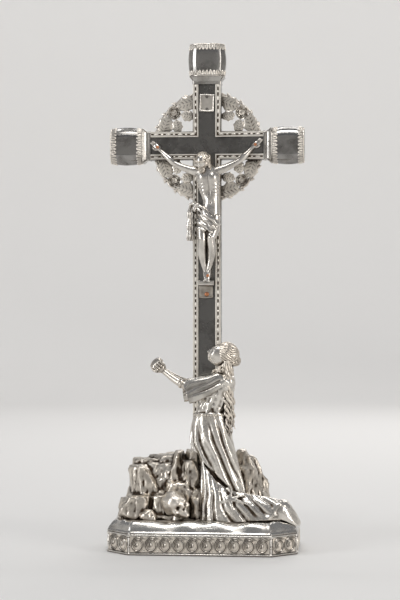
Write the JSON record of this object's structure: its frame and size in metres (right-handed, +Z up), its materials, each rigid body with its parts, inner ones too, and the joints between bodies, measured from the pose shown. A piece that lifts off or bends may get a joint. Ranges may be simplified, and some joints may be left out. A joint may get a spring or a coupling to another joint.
{
  "type": "altar cross",
  "caption": "Standing altar cross with corpus, openwork nimbus and swelling terminals, on a rocky mound with a kneeling figure over an eight-sided scrolled plinth.",
  "frame": {"origin": "middle of the underside, on the surface the cross stands on", "axes": "+Z up the cross, front towards -Y, +X to the right as seen from the front"},
  "size_m": [0.197, 0.116, 0.507],
  "materials": {
    "silver_cast": "satin",
    "silver_polished": "gloss",
    "silver_panel": "satin",
    "copper_rivets": "satin",
    "steel_fixings": "satin"
  },
  "bodies": {
    "root": {"plinth_band": "silver_polished", "plinth_ribs": "silver_cast", "frieze_front": "silver_cast", "frieze_back": "silver_cast", "frieze_left": "silver_cast", "frieze_right": "silver_cast", "frieze_corners": "silver_cast", "base_lugs": "silver_panel", "base_plate": "silver_panel", "base_plate_screws": "steel_fixings", "ground": "silver_cast", "rocks": "silver_cast", "skull": "silver_cast", "tie_rod": "steel_fixings", "tie_washer": "steel_fixings", "tie_nut": "steel_fixings", "foot_block": "silver_panel", "cross_front": "silver_panel", "cross_sides": "silver_panel", "cross_back": "silver_panel", "border_upper_left": "silver_cast", "border_upper_right": "silver_cast", "border_lower_left": "silver_cast", "border_lower_right": "silver_cast", "collar_top": "silver_polished", "collar_left": "silver_polished", "collar_right": "silver_polished", "terminal_top": "silver_polished", "terminal_left": "silver_polished", "terminal_right": "silver_polished", "leaf_bands_top": "silver_cast", "leaf_bands_left": "silver_cast", "leaf_bands_right": "silver_cast", "nimbus_rim": "silver_cast", "nimbus_leaves": "silver_cast", "nimbus_roses": "silver_cast", "nimbus_screws": "steel_fixings", "title_plaque": "silver_cast", "title_frame": "silver_cast", "title_pins": "silver_cast", "corpus": "silver_cast", "corpus_screws": "steel_fixings", "hand_nails": "copper_rivets", "foot_nail": "copper_rivets", "footrest": "silver_cast", "footrest_plate": "silver_cast", "footrest_rivet": "copper_rivets", "kneeling_figure": "silver_cast", "figure_forearms": "silver_cast", "figure_belt": "silver_cast", "figure_screws": "steel_fixings"}
  },
  "joints": []
}
